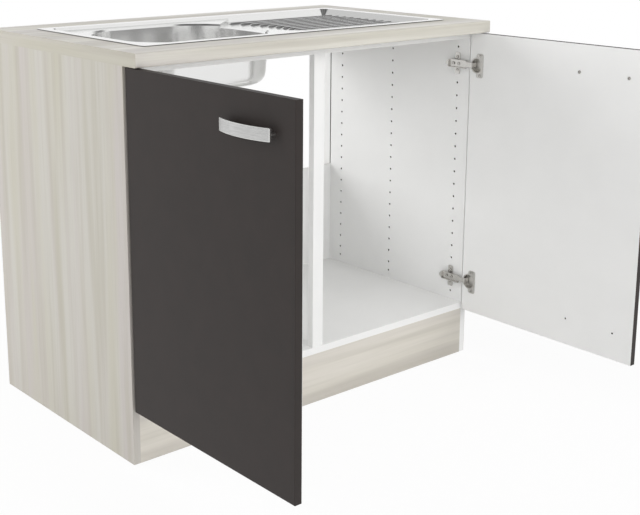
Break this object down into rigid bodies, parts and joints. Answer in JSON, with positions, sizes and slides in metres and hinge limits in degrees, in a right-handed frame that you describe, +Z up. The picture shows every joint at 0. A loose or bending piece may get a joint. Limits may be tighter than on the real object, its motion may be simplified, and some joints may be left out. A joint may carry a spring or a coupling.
{
  "type": "kitchen sink base unit",
  "caption": "Kitchen sink base unit: open-backed board carcass, worktop with inset steel sink and ribbed drainer, doors on cup hinges with bow handles, lift-out strainer basket.",
  "frame": {"origin": "on the floor, under the middle of the whole unit's box with both doors open at a right angle", "axes": "+X towards the drainer side of the sink, +Y towards the wall behind the unit, +Z up"},
  "size_m": [1.0454, 1.0566, 0.8497],
  "materials": {
    "acacia_decor": "melamine-faced chipboard, pale streaky acacia print",
    "white_board": "white melamine-faced chipboard",
    "anthracite_front": "melamine-faced chipboard, matt anthracite outside and white inside",
    "stainless_steel": "satin stainless steel",
    "plated_steel": "nickel-plated pressed steel",
    "zinc_casting": "bare zinc die casting",
    "beech": "bare turned beech",
    "black_rubber": "matt black rubber",
    "white_plastic": "white polypropylene"
  },
  "bodies": {
    "carcass": {"side_panel_left": "acacia_decor", "side_panel_right": "acacia_decor", "plinth_panel": "acacia_decor", "worktop": "acacia_decor", "bottom_shelf": "white_board", "front_rail": "white_board", "rear_rail": "white_board", "centre_post": "white_board", "back_panel": "white_board", "sink_basin": "stainless_steel", "waste_rim": "stainless_steel", "waste_screw": "stainless_steel", "wood_dowels": "beech", "cam_discs": "zinc_casting", "cam_bolts": "plated_steel", "worktop_brackets": "plated_steel", "worktop_bracket_screws": "plated_steel", "back_panel_nails": "plated_steel", "sink_clips": "plated_steel", "sink_clip_screws": "plated_steel", "sink_seal": "black_rubber", "waste_gasket": "black_rubber", "waste_body": "white_plastic", "hinge_plate_left_lower": "plated_steel", "hinge_arm_left_lower": "plated_steel", "hinge_plate_left_upper": "plated_steel", "hinge_arm_left_upper": "plated_steel", "hinge_plate_screws_left": "plated_steel", "hinge_arm_screws_left": "plated_steel", "hinge_plate_right_lower": "plated_steel", "hinge_arm_right_lower": "plated_steel", "hinge_plate_right_upper": "plated_steel", "hinge_arm_right_upper": "plated_steel", "hinge_plate_screws_right": "plated_steel", "hinge_arm_screws_right": "plated_steel"},
    "left_door": {"door_left": "anthracite_front", "handle_left": "stainless_steel", "handle_screws_left": "plated_steel", "hinge_cup_left_lower": "plated_steel", "hinge_cup_left_upper": "plated_steel", "hinge_pins_left": "plated_steel", "hinge_cup_screws_left": "plated_steel"},
    "right_door": {"door_right": "anthracite_front", "handle_right": "stainless_steel", "handle_screws_right": "plated_steel", "hinge_cup_right_lower": "plated_steel", "hinge_cup_right_upper": "plated_steel", "hinge_pins_right": "plated_steel", "hinge_cup_screws_right": "plated_steel"},
    "basket": {"strainer_basket": "stainless_steel", "basket_seal": "black_rubber"}
  },
  "joints": [
    {"name": "left_door_hinge", "type": "hinge", "parent": "carcass", "child": "left_door", "pos_m": [-0.4913, -0.0385, 0.468], "axis": [0, 0, 1], "range_deg": [-15, 90]},
    {"name": "right_door_hinge", "type": "hinge", "parent": "carcass", "child": "right_door", "pos_m": [0.4913, -0.0385, 0.468], "axis": [0, 0, -1], "range_deg": [-15, 90]},
    {"name": "basket_lift", "type": "slide", "parent": "carcass", "child": "basket", "axis": [0, 0, 1], "range_m": [0, 0.08]}
  ]
}
